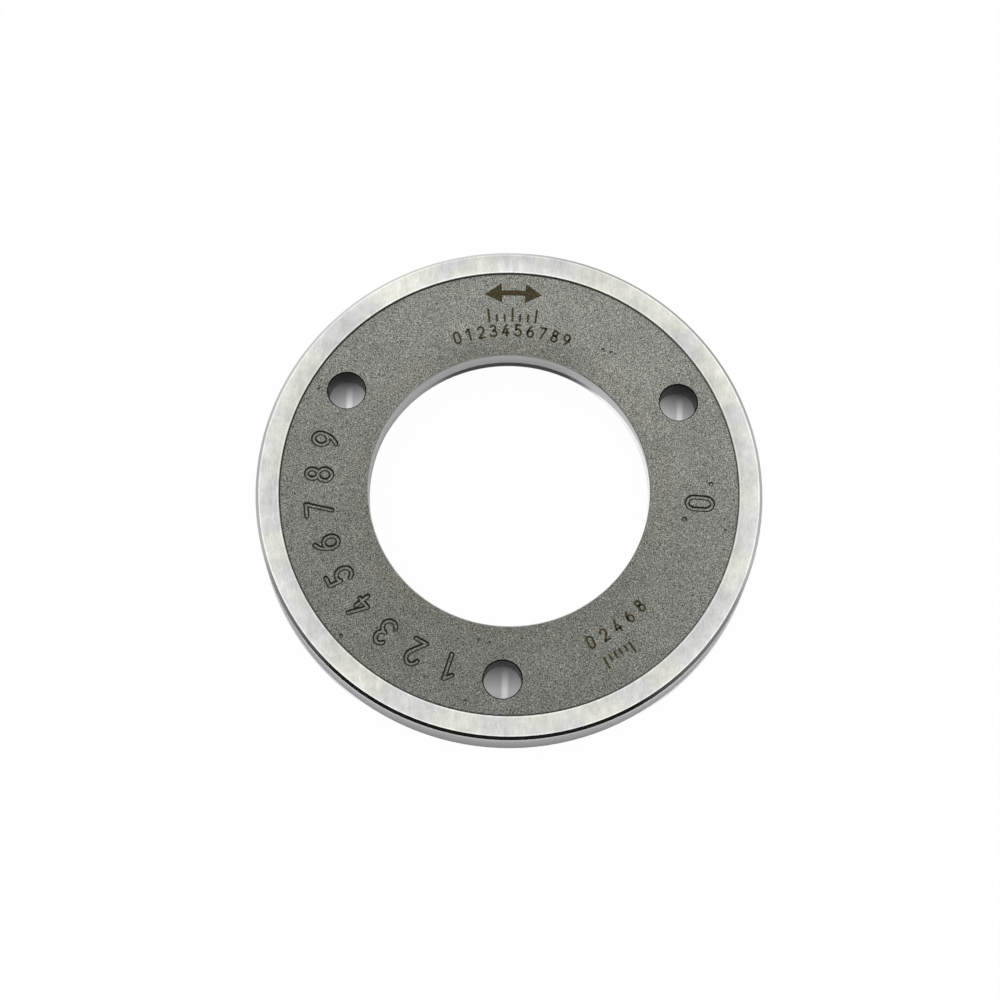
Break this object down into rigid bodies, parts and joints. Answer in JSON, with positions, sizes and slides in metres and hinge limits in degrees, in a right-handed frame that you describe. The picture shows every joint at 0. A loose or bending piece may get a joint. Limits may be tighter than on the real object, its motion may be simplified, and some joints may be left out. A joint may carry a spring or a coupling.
{
  "type": "coffee grinder burr",
  "caption": "Flat steel grinding ring: a ground rim round a cast field on the back, screw holes, a wide bore, and slanted teeth with curved breaker blades on the other face.",
  "frame": {"origin": "centre of the grinding face, on the plane of the finishing lands that the ring lies on", "axes": "+Z along the ring's axis, from the grinding face to the mounting face; one screw hole lies on -Y"},
  "size_m": [0.098, 0.098, 0.01],
  "materials": {
    "burr_steel": "hardened cast steel: ground bright on the back rim, the outer wall and the bore, blasted matt grey on the recessed field, cast and ground on the teeth"
  },
  "bodies": {
    "root": {"burr_ring": "burr_steel"}
  },
  "joints": []
}
